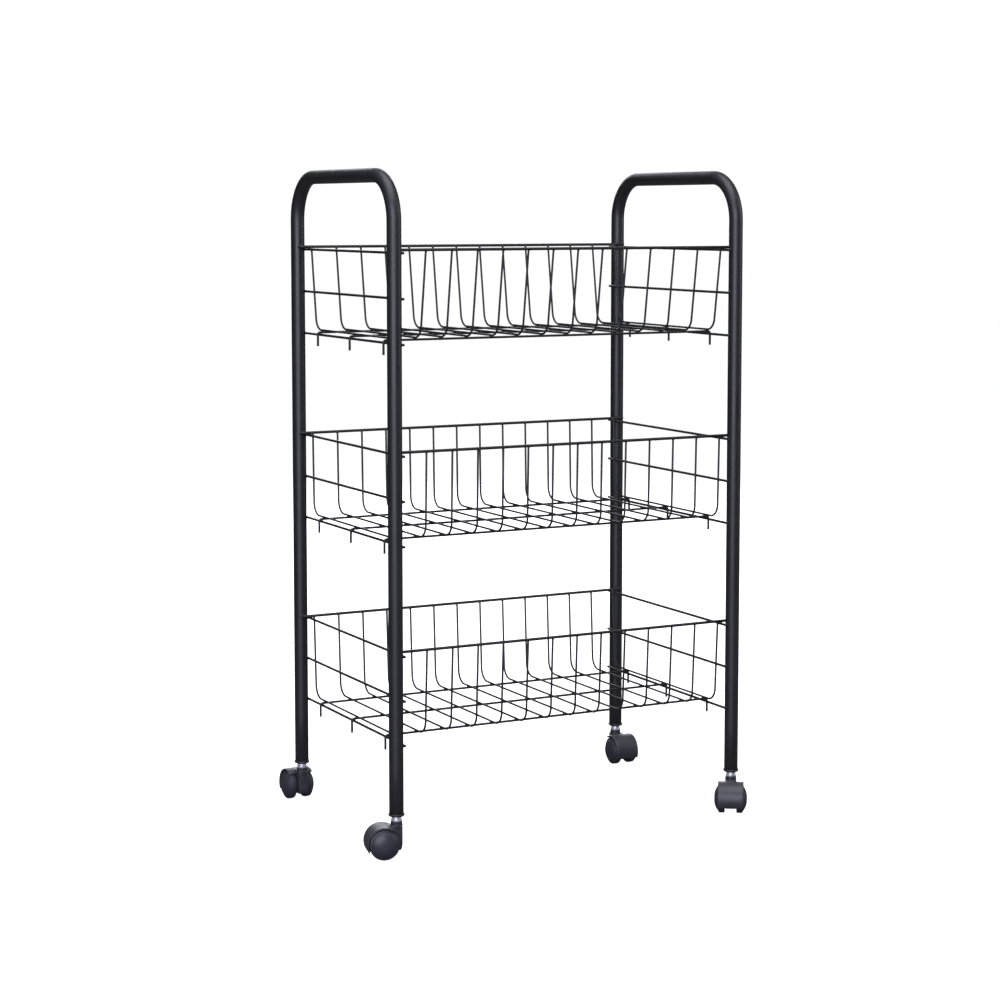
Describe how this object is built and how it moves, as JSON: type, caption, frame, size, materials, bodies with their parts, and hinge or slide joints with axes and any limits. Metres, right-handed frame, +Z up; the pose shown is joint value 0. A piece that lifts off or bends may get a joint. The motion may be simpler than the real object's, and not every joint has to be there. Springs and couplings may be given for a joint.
{
  "type": "rolling utility cart",
  "caption": "Rolling utility cart: wire baskets stacked between bent-tube end frames with push handles, on swivel casters.",
  "frame": {"origin": "on the floor, midway between the four posts", "axes": "+Z up, +X along the baskets from the left end frame to the right one, -Y the front long side"},
  "size_m": [0.5782, 0.4057, 0.886],
  "materials": {
    "tube_powder_coat": "satin black powder coat",
    "wire_powder_coat": "satin black powder coat",
    "socket_plastic": "moulded black nylon",
    "zinc_plate": "bright zinc plate",
    "axle_steel": "drawn steel pin",
    "caster_plastic": "moulded black nylon with a soft sheen",
    "wheel_plastic": "moulded black nylon, satin"
  },
  "bodies": {
    "frame": {"left_hoop": "tube_powder_coat", "right_hoop": "tube_powder_coat", "bottom_front_rim": "wire_powder_coat", "bottom_rear_rim": "wire_powder_coat", "bottom_left_end_rods": "wire_powder_coat", "bottom_right_end_rods": "wire_powder_coat", "bottom_cross_wires": "wire_powder_coat", "bottom_floor_wires": "wire_powder_coat", "middle_front_rim": "wire_powder_coat", "middle_rear_rim": "wire_powder_coat", "middle_left_end_rods": "wire_powder_coat", "middle_right_end_rods": "wire_powder_coat", "middle_cross_wires": "wire_powder_coat", "middle_floor_wires": "wire_powder_coat", "top_front_rim": "wire_powder_coat", "top_rear_rim": "wire_powder_coat", "top_left_end_rods": "wire_powder_coat", "top_right_end_rods": "wire_powder_coat", "top_cross_wires": "wire_powder_coat", "top_floor_wires": "wire_powder_coat", "socket_front_left": "socket_plastic", "stem_front_left": "zinc_plate", "grip_ring_front_left": "axle_steel", "socket_front_right": "socket_plastic", "stem_front_right": "zinc_plate", "grip_ring_front_right": "axle_steel", "socket_rear_left": "socket_plastic", "stem_rear_left": "zinc_plate", "grip_ring_rear_left": "axle_steel", "socket_rear_right": "socket_plastic", "stem_rear_right": "zinc_plate", "grip_ring_rear_right": "axle_steel"},
    "caster_front_left": {"hood_front_left": "caster_plastic", "axle_front_left": "axle_steel"},
    "wheel_a_front_left": {"wheel_a_front_left": "wheel_plastic"},
    "wheel_b_front_left": {"wheel_b_front_left": "wheel_plastic"},
    "caster_front_right": {"hood_front_right": "caster_plastic", "axle_front_right": "axle_steel"},
    "wheel_a_front_right": {"wheel_a_front_right": "wheel_plastic"},
    "wheel_b_front_right": {"wheel_b_front_right": "wheel_plastic"},
    "caster_rear_left": {"hood_rear_left": "caster_plastic", "axle_rear_left": "axle_steel"},
    "wheel_a_rear_left": {"wheel_a_rear_left": "wheel_plastic"},
    "wheel_b_rear_left": {"wheel_b_rear_left": "wheel_plastic"},
    "caster_rear_right": {"hood_rear_right": "caster_plastic", "axle_rear_right": "axle_steel"},
    "wheel_a_rear_right": {"wheel_a_rear_right": "wheel_plastic"},
    "wheel_b_rear_right": {"wheel_b_rear_right": "wheel_plastic"}
  },
  "joints": [
    {"name": "swivel_front_left", "type": "hinge", "parent": "frame", "child": "caster_front_left", "pos_m": [-0.256, -0.16, 0.047], "axis": [0, 0, 1], "continuous": true},
    {"name": "roll_a_front_left", "type": "hinge", "parent": "caster_front_left", "child": "wheel_a_front_left", "pos_m": [-0.27347, -0.15565, 0.02], "axis": [-0.2419, -0.9703, 0], "continuous": true},
    {"name": "roll_b_front_left", "type": "hinge", "parent": "caster_front_left", "child": "wheel_b_front_left", "pos_m": [-0.27347, -0.15565, 0.02], "axis": [-0.2419, -0.9703, 0], "continuous": true},
    {"name": "swivel_front_right", "type": "hinge", "parent": "frame", "child": "caster_front_right", "pos_m": [0.256, -0.16, 0.047], "axis": [0, 0, 1], "continuous": true},
    {"name": "roll_a_front_right", "type": "hinge", "parent": "caster_front_right", "child": "wheel_a_front_right", "pos_m": [0.2462, -0.1751, 0.02], "axis": [0.8387, -0.5446, 0], "continuous": true},
    {"name": "roll_b_front_right", "type": "hinge", "parent": "caster_front_right", "child": "wheel_b_front_right", "pos_m": [0.2462, -0.1751, 0.02], "axis": [0.8387, -0.5446, 0], "continuous": true},
    {"name": "swivel_rear_left", "type": "hinge", "parent": "frame", "child": "caster_rear_left", "pos_m": [-0.256, 0.16, 0.047], "axis": [0, 0, 1], "continuous": true},
    {"name": "roll_a_rear_left", "type": "hinge", "parent": "caster_rear_left", "child": "wheel_a_rear_left", "pos_m": [-0.25663, 0.17799, 0.02], "axis": [-0.9994, -0.0349, 0], "continuous": true},
    {"name": "roll_b_rear_left", "type": "hinge", "parent": "caster_rear_left", "child": "wheel_b_rear_left", "pos_m": [-0.25663, 0.17799, 0.02], "axis": [-0.9994, -0.0349, 0], "continuous": true},
    {"name": "swivel_rear_right", "type": "hinge", "parent": "frame", "child": "caster_rear_right", "pos_m": [0.256, 0.16, 0.047], "axis": [0, 0, 1], "continuous": true},
    {"name": "roll_a_rear_right", "type": "hinge", "parent": "caster_rear_right", "child": "wheel_a_rear_right", "pos_m": [0.25537, 0.14201, 0.02], "axis": [0.9994, -0.0349, 0], "continuous": true},
    {"name": "roll_b_rear_right", "type": "hinge", "parent": "caster_rear_right", "child": "wheel_b_rear_right", "pos_m": [0.25537, 0.14201, 0.02], "axis": [0.9994, -0.0349, 0], "continuous": true}
  ]
}
